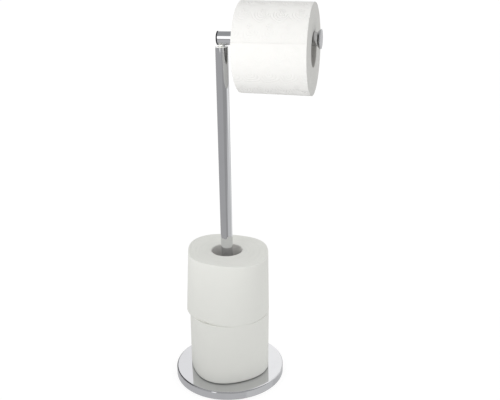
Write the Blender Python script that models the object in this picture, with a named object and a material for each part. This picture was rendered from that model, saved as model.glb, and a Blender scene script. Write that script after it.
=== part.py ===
"""A free-standing toilet roll holder: a weighted round base, an upright tube and a lift-off arm.

Metres, +Z up. The origin is the middle of the pad's underside, on the floor. The arm points
along +X. One paper roll hangs on the arm, and two spare rolls stand on the base round the pole.
"""

import math

import bmesh
import bpy

# Fits between neighbouring pieces
GAP = 0.0003
CUT_OVERRUN = 0.002
MERGE = 0.00001

# Base
BASE_DIAMETER = 0.171
BASE_HEIGHT = 0.014
BASE_WALL = 0.001
BASE_EDGE_RADIUS = 0.0022
RIM_LIFT = 0.0009
PAD_THICKNESS = 0.0015
PAD_INSET = 0.003
PAD_CHAMFER = 0.0003
WEIGHT_CHAMFER = 0.0014

# Screw that clamps the base to the pole
SCREW_REACH = 0.02
SCREW_TIP = 0.001
SOCKET_ACROSS_CORNERS = 0.0058
SOCKET_DEPTH = 0.0025

# Pole
POLE_DIAMETER = 0.018
POLE_WALL = 0.001
POLE_TOP = 0.514
FOOT_INSERT_LENGTH = 0.025
FOOT_INSERT_WALL = 0.0034

# Cap with the swivel bush in the top of the pole
CAP_PLUG_LENGTH = 0.028
CAP_WALL = 0.0017
CAP_CROWN = 0.0014
CAP_LIP_THICKNESS = 0.0006
BUSH_WALL = 0.0009
BUSH_FOOT_INSET = 0.001

# Spigot and saddle that carry the arm on the cap
SADDLE_WEB = 0.0009
SADDLE_DIAMETER = 0.0102
SPIGOT_CHAMFER = 0.001
THREAD_SHARE = 2 / 3
THREAD_REACH = 0.005

# Arm
ARM_DIAMETER = 0.019
ARM_WALL = 0.001
ARM_BEHIND_AXIS = 0.006
ARM_EDGE_RADIUS = 0.0005
REAR_FLANGE = 0.0017
REAR_PLUG_REACH = 0.009

# Knob at the arm's free end
KNOB_DIAMETER = 0.0257
KNOB_THICKNESS = 0.0042
KNOB_EDGE_RADIUS = 0.0009
KNOB_INSERT_LENGTH = 0.014
STUD_DIAMETER = 0.005
STUD_IN_INSERT = 0.009
STUD_IN_KNOB = 0.0024

# Paper rolls
ROLL_LENGTH = 0.098
HANGING_ROLL_DIAMETER = 0.1236
SPARE_ROLL_DIAMETER = 0.127
CORE_BORE = 0.047
CORE_WALL = 0.0007
CORE_INSET = 0.0004
PAPER_END_STEP = 0.0007
ROLL_STANDOFF = 0.0299
ROLL_END_PLAY = 0.0062
HANGING_END_ANGLE = math.radians(-102.6)
SPARE_END_ANGLE = math.radians(100)

# The hanging roll's wrap leans up and forward at its left end: shares of the radius
HANGING_LEFT_LEAN_SHARE = 0.07
HANGING_LEFT_LEAN_TURN = math.radians(-123)
HANGING_RIGHT_SWELL_SHARE = 0.004

# Spare rolls, pressed out of round: shares of the radius, and the direction of each bulge
UPPER_TOP_OVAL_SHARE = 0.073
UPPER_TOP_OVAL_TURN = math.radians(-37)
UPPER_TOP_SQUARE_SHARE = 0.039
UPPER_TOP_SQUARE_TURN = math.radians(-40)
UPPER_TOP_LEAN_SHARE = 0.028
UPPER_TOP_LEAN_TURN = math.radians(29)
UPPER_TOP_SWELL_SHARE = 0.015
UPPER_FOOT_OVAL_SHARE = 0.049
UPPER_FOOT_OVAL_TURN = math.radians(-26)
UPPER_FOOT_SQUARE_SHARE = 0.015
UPPER_FOOT_SQUARE_TURN = math.radians(27)
UPPER_FOOT_LEAN_SHARE = 0.015
UPPER_FOOT_LEAN_TURN = math.radians(152)
LOWER_TOP_OVAL_SHARE = 0.016
LOWER_TOP_OVAL_TURN = math.radians(-59)
LOWER_TOP_SQUARE_SHARE = 0.014
LOWER_TOP_SQUARE_TURN = math.radians(-18)
LOWER_TOP_LEAN_SHARE = 0.023
LOWER_TOP_LEAN_TURN = math.radians(13)
LOWER_FOOT_OVAL_SHARE = 0.02
LOWER_FOOT_OVAL_TURN = math.radians(-72)
LOWER_FOOT_SQUARE_SHARE = 0.031
LOWER_FOOT_SQUARE_TURN = math.radians(-12)

# Facets
BASE_FACETS = 72
TUBE_FACETS = 32
KNOB_FACETS = 48
ROLL_FACETS = 64
ARC_STEPS = 4
SPARE_ROWS = 4

# Sizes that follow from the ones above
BASE_RADIUS = BASE_DIAMETER / 2
POLE_RADIUS = POLE_DIAMETER / 2
POLE_BORE_RADIUS = POLE_RADIUS - POLE_WALL
PLUG_RADIUS = POLE_BORE_RADIUS - GAP
POLE_FOOT = BASE_HEIGHT + GAP
SCREW_RADIUS = PLUG_RADIUS - FOOT_INSERT_WALL - GAP
SCREW_HEAD_RADIUS = 2 * SCREW_RADIUS

CAP_BORE_RADIUS = PLUG_RADIUS - CAP_WALL
BUSH_RADIUS = CAP_BORE_RADIUS - GAP
BUSH_BORE_RADIUS = BUSH_RADIUS - BUSH_WALL
SPIGOT_RADIUS = BUSH_BORE_RADIUS - GAP
SPIGOT_THREAD_RADIUS = SPIGOT_RADIUS * THREAD_SHARE
CAP_SEAT = POLE_TOP + GAP
CAP_TOP = CAP_SEAT + CAP_CROWN
CAP_FOOT = POLE_TOP - CAP_PLUG_LENGTH

ARM_RADIUS = ARM_DIAMETER / 2
ARM_BORE_RADIUS = ARM_RADIUS - ARM_WALL
ARM_PLUG_RADIUS = ARM_BORE_RADIUS - GAP
SADDLE_FOOT = CAP_TOP + GAP
ARM_AXIS = SADDLE_FOOT + SADDLE_WEB + GAP + ARM_RADIUS
ARM_TUBE_START = REAR_FLANGE + GAP - ARM_BEHIND_AXIS
KNOB_FACE = ROLL_STANDOFF + ROLL_LENGTH + ROLL_END_PLAY
ARM_TUBE_END = KNOB_FACE - GAP
KNOB_RADIUS = KNOB_DIAMETER / 2
STUD_RADIUS = STUD_DIAMETER / 2

HANGING_ROLL_RADIUS = HANGING_ROLL_DIAMETER / 2
SPARE_ROLL_RADIUS = SPARE_ROLL_DIAMETER / 2
CORE_BORE_RADIUS = CORE_BORE / 2
CORE_RADIUS = CORE_BORE_RADIUS + CORE_WALL
PAPER_BORE_RADIUS = CORE_RADIUS + GAP
HANGING_AXIS = ARM_AXIS + ARM_RADIUS + GAP - CORE_BORE_RADIUS
LOWER_ROLL_FOOT = BASE_HEIGHT + GAP
UPPER_ROLL_FOOT = LOWER_ROLL_FOOT + ROLL_LENGTH + GAP

# Finishes: colour, metallic, roughness
CHROME = ("chrome", (0.62, 0.63, 0.64, 1), 1.0, 0.08)
ZINC = ("zinc_plate", (0.55, 0.56, 0.58, 1), 1.0, 0.35)
IRON = ("cast_iron", (0.12, 0.12, 0.125, 1), 0.7, 0.7)
NYLON = ("white_nylon", (0.85, 0.85, 0.83, 1), 0.0, 0.5)
FOAM = ("dark_pad", (0.05, 0.05, 0.052, 1), 0.0, 0.9)
TISSUE = ("white_tissue", (0.86, 0.86, 0.84, 1), 0.0, 0.95)
CARD = ("grey_card", (0.42, 0.39, 0.35, 1), 0.0, 0.9)


def clear_scene():
    for thing in list(bpy.data.objects):
        bpy.data.objects.remove(thing, do_unlink=True)


def finish(name, colour, metallic, roughness):
    """The named material, made the first time that it is asked for."""
    if name in bpy.data.materials:
        return bpy.data.materials[name]
    made = bpy.data.materials.new(name)
    made.use_nodes = True
    shader = made.node_tree.nodes["Principled BSDF"]
    shader.inputs["Base Color"].default_value = colour
    shader.inputs["Metallic"].default_value = metallic
    shader.inputs["Roughness"].default_value = roughness
    return made


def frame_at(name, place, turn=(0, 0, 0)):
    """An empty on a joint's axis, which carries the pieces that move with it."""
    empty = bpy.data.objects.new(name, None)
    empty.location = place
    empty.rotation_euler = turn
    bpy.context.scene.collection.objects.link(empty)
    return empty


def put(name, mesh, look, carrier, height=0):
    """Links a mesh as one named piece, at a height along its carrier's own Z axis."""
    piece = bpy.data.objects.new(name, mesh)
    mesh.materials.append(finish(*look))
    mesh.shade_smooth()
    mesh.set_sharp_from_angle(angle=math.radians(30))
    piece.parent = carrier
    piece.location = (0, 0, height)
    bpy.context.scene.collection.objects.link(piece)
    return piece


def as_mesh(bm, name):
    bmesh.ops.remove_doubles(bm, verts=bm.verts, dist=MERGE)
    bmesh.ops.recalc_face_normals(bm, faces=bm.faces)
    mesh = bpy.data.meshes.new(name)
    bm.to_mesh(mesh)
    bm.free()
    return mesh


def arc(middle, radius, start, end, steps=ARC_STEPS):
    """Points (radius, height) round part of a circle, from one angle in degrees to another."""
    turns = (math.radians(start + (end - start) * i / steps) for i in range(steps + 1))
    return [(middle[0] + radius * math.cos(t), middle[1] + radius * math.sin(t)) for t in turns]


def turned(name, profile, facets=TUBE_FACETS):
    """A solid of revolution about Z. A profile that leaves the axis open is joined end to start."""
    bm = bmesh.new()
    points = [bm.verts.new((radius, 0, height)) for radius, height in profile]
    edges = [bm.edges.new(pair) for pair in zip(points, points[1:])]
    if min(profile[0][0], profile[-1][0]) > 0:
        edges.append(bm.edges.new((points[-1], points[0])))
    bmesh.ops.spin(bm, geom=points + edges, cent=(0, 0, 0), axis=(0, 0, 1),
                   angle=math.tau, steps=facets, use_merge=True)
    return as_mesh(bm, name)


def sleeve(name, bore, radius, low, high, facets=TUBE_FACETS):
    """A plain tube between two heights."""
    return turned(name, [(bore, low), (radius, low), (radius, high), (bore, high)], facets)


def cut(piece, name, mesh, carrier, place=(0, 0, 0), turn=(0, 0, 0)):
    """Takes a hidden cutter's shape out of a piece."""
    cutter = bpy.data.objects.new(name, mesh)
    cutter.parent = carrier
    cutter.location = place
    cutter.rotation_euler = turn
    cutter.hide_render = True
    cutter.display_type = "WIRE"
    bpy.context.scene.collection.objects.link(cutter)
    boolean = piece.modifiers.new(name, "BOOLEAN")
    boolean.operation = "DIFFERENCE"
    boolean.solver = "EXACT"
    boolean.object = cutter


def rod(name, radius, low, high, facets=TUBE_FACETS):
    """A plain solid cylinder between two heights."""
    return turned(name, [(0, low), (radius, low), (radius, high), (0, high)], facets)


# Base

def base_pad(stand):
    """Soft disc under the weight. Its underside is the face that the holder stands on."""
    radius = BASE_RADIUS - BASE_WALL - PAD_INSET
    profile = [(0, 0), (radius - PAD_CHAMFER, 0), (radius, PAD_CHAMFER),
               (radius, PAD_THICKNESS), (0, PAD_THICKNESS)]
    put("base_pad", turned("base_pad", profile, BASE_FACETS), FOAM, stand)


def base_weight(stand):
    """Cast disc with a cone seat for the screw's head, and a chamfer that clears the cover's bend."""
    foot = PAD_THICKNESS + GAP
    top = BASE_HEIGHT - BASE_WALL - GAP
    radius = BASE_RADIUS - BASE_WALL - GAP
    hole = SCREW_RADIUS + GAP
    slant = GAP * math.sqrt(2)
    mouth = SCREW_HEAD_RADIUS + slant + GAP
    profile = [(hole, foot + mouth - hole), (mouth, foot), (radius - WEIGHT_CHAMFER, foot),
               (radius, foot + WEIGHT_CHAMFER), (radius, top - WEIGHT_CHAMFER),
               (radius - WEIGHT_CHAMFER, top), (hole, top)]
    put("base_weight", turned("base_weight", profile, BASE_FACETS), IRON, stand)


def base_cover(stand):
    """Pressed dish over the weight: a flat top, a bent edge and a short skirt that stops above the floor."""
    bend = BASE_EDGE_RADIUS
    inner_bend = bend - BASE_WALL
    middle = (BASE_RADIUS - bend, BASE_HEIGHT - bend)
    hole = SCREW_RADIUS + GAP
    profile = [(BASE_RADIUS, RIM_LIFT)]
    profile += arc(middle, bend, 0, 90)
    profile += [(hole, BASE_HEIGHT), (hole, BASE_HEIGHT - BASE_WALL)]
    profile += arc(middle, inner_bend, 90, 0)
    profile += [(BASE_RADIUS - BASE_WALL, RIM_LIFT)]
    put("base_cover", turned("base_cover", profile, BASE_FACETS), CHROME, stand)


def base_screw(stand):
    """Countersunk screw from the weight's underside, through the cover, into the pole's foot."""
    face = PAD_THICKNESS + GAP + GAP
    neck = face + SCREW_HEAD_RADIUS - SCREW_RADIUS
    tip = POLE_FOOT + SCREW_REACH
    profile = [(0, face), (SCREW_HEAD_RADIUS, face), (SCREW_RADIUS, neck),
               (SCREW_RADIUS, tip - SCREW_TIP), (SCREW_RADIUS - SCREW_TIP, tip), (0, tip)]
    screw = put("base_screw", turned("base_screw", profile), ZINC, stand)
    socket = rod("screw_socket", SOCKET_ACROSS_CORNERS / 2, face - CUT_OVERRUN, face + SOCKET_DEPTH, facets=6)
    cut(screw, "screw_socket", socket, stand)


# Pole

def pole(stand):
    """Upright tube, open at both ends, on the base cover."""
    tube = sleeve("pole_tube", POLE_BORE_RADIUS, POLE_RADIUS, POLE_FOOT, POLE_TOP)
    put("pole_tube", tube, CHROME, stand)
    insert = sleeve("pole_foot_insert", SCREW_RADIUS + GAP, PLUG_RADIUS, POLE_FOOT,
                    POLE_FOOT + FOOT_INSERT_LENGTH)
    put("pole_foot_insert", insert, ZINC, stand)


def pole_cap(stand):
    """Plug with a rounded crown that closes the tube, and a lip that keeps the bush in."""
    lip_bore = SPIGOT_RADIUS + GAP
    crown = (POLE_RADIUS - CAP_CROWN, CAP_SEAT)
    profile = [(CAP_BORE_RADIUS, CAP_FOOT), (PLUG_RADIUS, CAP_FOOT), (PLUG_RADIUS, CAP_SEAT)]
    profile += arc(crown, CAP_CROWN, 0, 90)
    profile += [(lip_bore, CAP_TOP), (lip_bore, CAP_TOP - CAP_LIP_THICKNESS),
                (CAP_BORE_RADIUS, CAP_TOP - CAP_LIP_THICKNESS)]
    put("pole_cap", turned("pole_cap", profile), NYLON, stand)


def swivel_bush(swivel):
    """Nylon sleeve between the cap and the arm's spigot."""
    top = CAP_TOP - CAP_LIP_THICKNESS - GAP
    sleeve_mesh = sleeve("swivel_bush", BUSH_BORE_RADIUS, BUSH_RADIUS, CAP_FOOT + BUSH_FOOT_INSET, top)
    put("swivel_bush", sleeve_mesh, NYLON, swivel)


# Arm

def arm_spigot(arm):
    """Stepped pin: its thick part turns in the bush, and its thread goes up into the rear plug."""
    foot = CAP_FOOT + BUSH_FOOT_INSET
    shoulder = CAP_TOP
    tip = ARM_AXIS + THREAD_REACH
    profile = [(0, foot), (SPIGOT_RADIUS - SPIGOT_CHAMFER, foot), (SPIGOT_RADIUS, foot + SPIGOT_CHAMFER),
               (SPIGOT_RADIUS, shoulder), (SPIGOT_THREAD_RADIUS, shoulder),
               (SPIGOT_THREAD_RADIUS, tip), (0, tip)]
    put("arm_spigot", turned("arm_spigot", profile), ZINC, arm)


def arm_saddle(arm):
    """Washer between the cap and the arm, hollowed on top to the arm's round."""
    saddle = sleeve("arm_saddle", SPIGOT_THREAD_RADIUS + GAP, SADDLE_DIAMETER / 2, SADDLE_FOOT, ARM_AXIS)
    piece = put("arm_saddle", saddle, NYLON, arm)
    reach = SADDLE_DIAMETER / 2 + CUT_OVERRUN
    tube_form = rod("saddle_hollow", ARM_RADIUS + GAP, -reach, reach, KNOB_FACETS)
    cut(piece, "saddle_hollow", tube_form, arm, (0, 0, ARM_AXIS), (0, math.pi / 2, 0))


def drill_for_thread(piece, name, arm, top):
    """A hole for the spigot's thread, upwards from below the arm to a height."""
    drill = rod(name, SPIGOT_THREAD_RADIUS + GAP, SADDLE_FOOT - CUT_OVERRUN, top)
    cut(piece, name, drill, arm)


def arm_tube(arm, line):
    """Horizontal tube, drilled underneath for the spigot's thread."""
    tube = sleeve("arm_tube", ARM_BORE_RADIUS, ARM_RADIUS, ARM_TUBE_START, ARM_TUBE_END)
    piece = put("arm_tube", tube, CHROME, line)
    drill_for_thread(piece, "arm_tube_hole", arm, ARM_AXIS)


def arm_rear_plug(arm, line):
    """Plug that closes the tube's rear end and holds the spigot's thread."""
    back = -ARM_BEHIND_AXIS
    flange = back + REAR_FLANGE
    edge = (ARM_RADIUS - ARM_EDGE_RADIUS, back + ARM_EDGE_RADIUS)
    profile = [(0, back)] + arc(edge, ARM_EDGE_RADIUS, -90, 0)
    profile += [(ARM_RADIUS, flange), (ARM_PLUG_RADIUS, flange), (ARM_PLUG_RADIUS, REAR_PLUG_REACH),
                (0, REAR_PLUG_REACH)]
    piece = put("arm_rear_plug", turned("arm_rear_plug", profile), IRON, line)
    drill_for_thread(piece, "rear_plug_hole", arm, ARM_AXIS + THREAD_REACH + GAP)


def knob(line):
    """Disc that stops the roll, on a stud screwed into an insert in the tube's front end."""
    insert_start = ARM_TUBE_END - KNOB_INSERT_LENGTH
    insert = sleeve("knob_insert", STUD_RADIUS + GAP, ARM_PLUG_RADIUS, insert_start, ARM_TUBE_END)
    put("knob_insert", insert, ZINC, line)

    stud = rod("knob_stud", STUD_RADIUS, ARM_TUBE_END - STUD_IN_INSERT, KNOB_FACE + STUD_IN_KNOB)
    put("knob_stud", stud, ZINC, line)

    front = KNOB_FACE + KNOB_THICKNESS
    hole = STUD_RADIUS + GAP
    hole_end = KNOB_FACE + STUD_IN_KNOB + GAP
    rim = KNOB_RADIUS - KNOB_EDGE_RADIUS
    profile = [(0, hole_end), (hole, hole_end), (hole, KNOB_FACE)]
    profile += arc((rim, KNOB_FACE + KNOB_EDGE_RADIUS), KNOB_EDGE_RADIUS, -90, 0)
    profile += arc((rim, front - KNOB_EDGE_RADIUS), KNOB_EDGE_RADIUS, 0, 90)
    profile += [(0, front)]
    put("end_knob", turned("end_knob", profile, KNOB_FACETS), CHROME, line)


# Paper rolls

def pressed_end(oval_share=0, oval_turn=0, square_share=0, square_turn=0, lean_share=0, lean_turn=0, swell_share=0):
    """How far a roll's end bulges at an angle, as a share of its radius: oval, squarish, to one side, and all round."""
    def push(turn):
        oval = oval_share * math.cos(2 * (turn - oval_turn))
        square = square_share * math.cos(4 * (turn - square_turn))
        return oval + square + lean_share * math.cos(turn - lean_turn) + swell_share
    return push


def wound_paper(name, outside, end_turn, rows=1, foot_push=pressed_end(), top_push=pressed_end()):
    """Wound paper about Z: a bore, a wrap whose free end makes a step, and two ends that may be pressed."""
    bm = bmesh.new()
    turns = [end_turn + math.tau * i / ROLL_FACETS for i in range(ROLL_FACETS + 1)]
    outer = []
    for i, turn in enumerate(turns):
        radius = outside - PAPER_END_STEP * i / ROLL_FACETS
        outer.append(bm.verts.new((radius * math.cos(turn), radius * math.sin(turn), 0)))
    inner = []
    for turn in turns[:-1]:
        inner.append(bm.verts.new((PAPER_BORE_RADIUS * math.cos(turn), PAPER_BORE_RADIUS * math.sin(turn), 0)))
    bm.faces.new((outer[0], inner[0], outer[-1]))
    for i in range(ROLL_FACETS):
        after = inner[(i + 1) % ROLL_FACETS]
        bm.faces.new((outer[i], outer[i + 1], after, inner[i]))

    # The flat ring is drawn up row by row, so that the wall can follow both ends' shapes.
    ring = bm.faces[:]
    for row in range(rows):
        grown = bmesh.ops.extrude_face_region(bm, geom=ring, use_keep_orig=True)["geom"]
        if row:
            bmesh.ops.delete(bm, geom=ring, context="FACES")
        ring = [item for item in grown if isinstance(item, bmesh.types.BMFace)]
        raised = [item for item in grown if isinstance(item, bmesh.types.BMVert)]
        bmesh.ops.translate(bm, verts=raised, vec=(0, 0, ROLL_LENGTH / rows))

    for vert in bm.verts:
        radius = vert.co.xy.length
        depth = max(0, radius - PAPER_BORE_RADIUS) / (outside - PAPER_BORE_RADIUS)
        turn = math.atan2(vert.co.y, vert.co.x)
        up = vert.co.z / ROLL_LENGTH
        push = foot_push(turn) * (1 - up) + top_push(turn) * up
        vert.co.xy *= 1 + push * depth * outside / radius
    return as_mesh(bm, name)


def core(name):
    """Cardboard tube inside the paper."""
    return sleeve(name, CORE_BORE_RADIUS, CORE_RADIUS, CORE_INSET, ROLL_LENGTH - CORE_INSET, ROLL_FACETS)


def hanging_roll(arm):
    """The roll in use. Its core's top rests on the arm, so its own axis is below the arm's, and its +X is down."""
    axis = frame_at("hanging_roll_axis", (ROLL_STANDOFF, 0, HANGING_AXIS), (0, math.pi / 2, 0))
    axis.parent = arm
    left = pressed_end(lean_share=HANGING_LEFT_LEAN_SHARE, lean_turn=HANGING_LEFT_LEAN_TURN)
    right = pressed_end(swell_share=HANGING_RIGHT_SWELL_SHARE)
    paper = wound_paper("hanging_roll_paper", HANGING_ROLL_RADIUS, HANGING_END_ANGLE, 1, left, right)
    put("hanging_roll_paper", paper, TISSUE, axis)
    put("hanging_roll_core", core("hanging_roll_core"), CARD, axis)


def spare_rolls(stand):
    """Two rolls pressed out of round, one on the other, round the pole."""
    upper_top = pressed_end(UPPER_TOP_OVAL_SHARE, UPPER_TOP_OVAL_TURN, UPPER_TOP_SQUARE_SHARE,
                            UPPER_TOP_SQUARE_TURN, UPPER_TOP_LEAN_SHARE, UPPER_TOP_LEAN_TURN,
                            UPPER_TOP_SWELL_SHARE)
    upper_foot = pressed_end(UPPER_FOOT_OVAL_SHARE, UPPER_FOOT_OVAL_TURN, UPPER_FOOT_SQUARE_SHARE,
                             UPPER_FOOT_SQUARE_TURN, UPPER_FOOT_LEAN_SHARE, UPPER_FOOT_LEAN_TURN)
    lower_top = pressed_end(LOWER_TOP_OVAL_SHARE, LOWER_TOP_OVAL_TURN, LOWER_TOP_SQUARE_SHARE,
                            LOWER_TOP_SQUARE_TURN, LOWER_TOP_LEAN_SHARE, LOWER_TOP_LEAN_TURN)
    lower_foot = pressed_end(LOWER_FOOT_OVAL_SHARE, LOWER_FOOT_OVAL_TURN, LOWER_FOOT_SQUARE_SHARE,
                             LOWER_FOOT_SQUARE_TURN)
    for place, foot, foot_push, top_push in (("lower", LOWER_ROLL_FOOT, lower_foot, lower_top),
                                             ("upper", UPPER_ROLL_FOOT, upper_foot, upper_top)):
        axis = frame_at(f"{place}_spare_axis", (0, 0, foot))
        axis.parent = stand
        paper = wound_paper(f"{place}_spare_paper", SPARE_ROLL_RADIUS, SPARE_END_ANGLE, SPARE_ROWS,
                            foot_push, top_push)
        put(f"{place}_spare_paper", paper, TISSUE, axis)
        put(f"{place}_spare_core", core(f"{place}_spare_core"), CARD, axis)


def build():
    clear_scene()
    stand = frame_at("stand", (0, 0, 0))
    base_pad(stand)
    base_weight(stand)
    base_cover(stand)
    base_screw(stand)
    pole(stand)
    pole_cap(stand)

    swivel = frame_at("arm_swivel_axis", (0, 0, 0))
    swivel.parent = stand
    swivel_bush(swivel)

    arm = frame_at("arm", (0, 0, 0))
    arm.parent = swivel
    line = frame_at("arm_line", (0, 0, ARM_AXIS), (0, math.pi / 2, 0))
    line.parent = arm
    arm_spigot(arm)
    arm_saddle(arm)
    arm_tube(arm, line)
    arm_rear_plug(arm, line)
    knob(line)

    hanging_roll(arm)
    spare_rolls(stand)


build()
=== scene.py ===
"""The looks of a free-standing toilet roll holder: polished tube, weighted base and three rolls.

Metres, +Z up. The pole stands on the Z axis and the arm points along +X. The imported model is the
frame: its inner pieces stay and get a finish, and its visible ones are replaced by fine meshes
of the same sizes.
"""

import logging
import random
from collections.abc import Callable, Sequence
from dataclasses import dataclass, field
from enum import Enum
from functools import partial
from math import atan2, cos, floor, radians, sin, sqrt, tau

import bmesh
import bpy
from mathutils import Matrix, Vector


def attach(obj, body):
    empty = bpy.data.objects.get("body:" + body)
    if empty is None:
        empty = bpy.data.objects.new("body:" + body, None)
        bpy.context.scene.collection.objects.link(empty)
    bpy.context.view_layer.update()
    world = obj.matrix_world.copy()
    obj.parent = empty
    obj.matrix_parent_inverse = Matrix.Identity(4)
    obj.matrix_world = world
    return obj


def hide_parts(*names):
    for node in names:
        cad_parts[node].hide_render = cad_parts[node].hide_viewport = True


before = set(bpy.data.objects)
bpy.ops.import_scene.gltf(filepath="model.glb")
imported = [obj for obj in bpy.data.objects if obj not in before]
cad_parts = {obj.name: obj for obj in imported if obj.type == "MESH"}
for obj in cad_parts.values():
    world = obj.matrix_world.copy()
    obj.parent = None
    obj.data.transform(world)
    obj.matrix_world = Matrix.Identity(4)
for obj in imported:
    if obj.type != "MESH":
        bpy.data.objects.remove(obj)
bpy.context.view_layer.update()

LOG = logging.getLogger("roll_holder")

MM = 0.001
WRAP_ATTRIBUTE = "wrap"

Pair = tuple[float, float]
Triple = tuple[float, float, float]


class Body(str, Enum):
    """The bodies that the fine pieces ride on."""

    STAND = "stand"
    ARM = "arm"
    HANGING_ROLL = "hanging_roll"
    LOWER_ROLL = "lower_spare_roll"
    UPPER_ROLL = "upper_spare_roll"


class Slot(str, Enum):
    """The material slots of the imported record."""

    CHROME = "chrome"
    ZINC = "zinc_steel"
    IRON = "cast_base"
    PAD = "base_pad"
    NYLON = "nylon"
    TISSUE = "tissue"
    CARD = "core_board"


class Side(Enum):
    """The two kinds of surface on a wound roll."""

    WRAP = "wrap"
    CUT_END = "cut_end"


# Shader sheets


@dataclass(frozen=True)
class Value:
    """A number, vector or colour on its way between two nodes."""

    sheet: "Sheet"
    socket: bpy.types.NodeSocket

    def _join(self, operation: str, first: "Feed", second: "Feed") -> "Value":
        """Adds a Math node on two feeds."""
        return self.sheet.read("ShaderNodeMath", {"operation": operation}, {0: first, 1: second})

    def __add__(self, other: "Number") -> "Value":
        """self + other."""
        return self._join("ADD", self, other)

    def __radd__(self, other: "Number") -> "Value":
        """other + self."""
        return self._join("ADD", other, self)

    def __sub__(self, other: "Number") -> "Value":
        """self - other."""
        return self._join("SUBTRACT", self, other)

    def __rsub__(self, other: "Number") -> "Value":
        """other - self."""
        return self._join("SUBTRACT", other, self)

    def __mul__(self, other: "Number") -> "Value":
        """self * other."""
        return self._join("MULTIPLY", self, other)

    def __rmul__(self, other: "Number") -> "Value":
        """other * self."""
        return self._join("MULTIPLY", other, self)

    def __truediv__(self, other: "Number") -> "Value":
        """self / other."""
        return self._join("DIVIDE", self, other)

    def function(self, operation: str, other: "Number" = 0.0) -> "Value":
        """Adds a Math node with a named operation on this value."""
        return self._join(operation, self, other)


Number = float | Value
Feed = float | tuple | Value
Feeds = dict[str | int, Feed]
Options = dict[str, object]


class Sheet:
    """The nodes of one material or world."""

    def __init__(self, tree: bpy.types.NodeTree) -> None:
        """Starts an empty sheet on a node tree."""
        self.tree = tree
        tree.nodes.clear()

    def node(
        self, kind: str, options: Options | None = None, feeds: Feeds | None = None
    ) -> bpy.types.Node:
        """Adds one node, sets it and feeds its sockets.

        Args:
            kind: The node's type.
            options: Its properties, set first.
            feeds: What each input socket gets, by name or number: a Value to link, or a constant.

        Returns:
            The new node.
        """
        made = self.tree.nodes.new(kind)
        for key, setting in (options or {}).items():
            setattr(made, key, setting)
        for key, feed in (feeds or {}).items():
            if isinstance(feed, Value):
                self.tree.links.new(feed.socket, made.inputs[key])
            else:
                made.inputs[key].default_value = feed
        return made

    def read(
        self,
        kind: str,
        options: Options | None = None,
        feeds: Feeds | None = None,
        output: str | int = 0,
    ) -> Value:
        """Adds one node as node() does, and gives the value at one of its outputs."""
        return Value(self, self.node(kind, options, feeds).outputs[output])

    def object_place(self) -> Value:
        """Where a point is on the object, in metres."""
        return self.read("ShaderNodeTexCoord", output="Object")

    def attribute(self, name: str) -> Value:
        """A vector that the mesh carries at each point."""
        return self.read("ShaderNodeAttribute", {"attribute_name": name}, output="Vector")

    def parts(self, vector: Value) -> tuple[Value, Value, Value]:
        """The three numbers of a vector."""
        split = self.node("ShaderNodeSeparateXYZ", None, {"Vector": vector})
        return tuple(Value(self, split.outputs[i]) for i in range(3))

    def stretched(self, vector: Value, shares: Triple) -> Value:
        """A vector with each of its numbers multiplied."""
        return self.read("ShaderNodeVectorMath", {"operation": "MULTIPLY"}, {0: vector, 1: shares})

    def noise(self, vector: Value, scale: float, detail: float = 2.0) -> Value:
        """Soft noise from 0 to 1, with about `scale` lumps to the metre."""
        feeds = {"Vector": vector, "Scale": scale, "Detail": detail}
        return self.read("ShaderNodeTexNoise", None, feeds)

    def tint(self, share: Feed, first: Feed, second: Feed) -> Value:
        """A colour between two others: the first where the share is 0, the second where it is 1."""
        return self.read("ShaderNodeMix", {"data_type": "RGBA"}, {0: share, 6: first, 7: second}, 2)

    def bump(self, height: Value, depth: float, under: Value | None = None) -> Value:
        """A surface direction that is tilted by a height from 0 to 1.

        Args:
            height: The height.
            depth: How many metres a height of 1 stands for.
            under: A coarser bump that this one lies on.

        Returns:
            The tilted surface direction.
        """
        feeds: Feeds = {"Height": height, "Distance": depth, "Strength": 1.0}
        if under is not None:
            feeds["Normal"] = under
        return self.read("ShaderNodeBump", None, feeds)


# Maths on plain numbers for a mesh, and on Values for a material


def fraction(x: Number) -> Number:
    """What is left of x above the whole number below it."""
    return x.function("FRACT") if isinstance(x, Value) else x - floor(x)


def size_of(x: Number) -> Number:
    """x without its sign."""
    return x.function("ABSOLUTE") if isinstance(x, Value) else abs(x)


def root(x: Number) -> Number:
    """The square root of x."""
    return x.function("SQRT") if isinstance(x, Value) else sqrt(x)


def cosine(x: Number) -> Number:
    """The cosine of x radians."""
    return x.function("COSINE") if isinstance(x, Value) else cos(x)


def turn_of(y: Number, x: Number) -> Number:
    """The angle of the point (x, y), in radians."""
    return y.function("ARCTAN2", x) if isinstance(y, Value) else atan2(y, x)


def above(x: Number, limit: float) -> Number:
    """1 where x is over a limit, and 0 elsewhere."""
    return x.function("GREATER_THAN", limit) if isinstance(x, Value) else float(x > limit)


def rise(x: Number, low: float, high: float) -> Number:
    """0 below low, 1 above high, and a smooth rise between them.

    Args:
        x: The number.
        low: Where the rise starts.
        high: Where it ends.

    Returns:
        The share.
    """
    if isinstance(x, Value):
        options = {"interpolation_type": "SMOOTHSTEP"}
        feeds = {"Value": x, "From Min": low, "From Max": high, "To Min": 0.0, "To Max": 1.0}
        return x.sheet.read("ShaderNodeMapRange", options, feeds)
    share = min(1.0, max(0.0, (x - low) / (high - low)))
    return share * share * (3 - 2 * share)


def groove(x: Number, width: float) -> Number:
    """1 along the line where x is 0, falling smoothly to 0 at half a width from it."""
    return 1 - rise(size_of(x), 0.0, width / 2)


# Finishes


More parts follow.
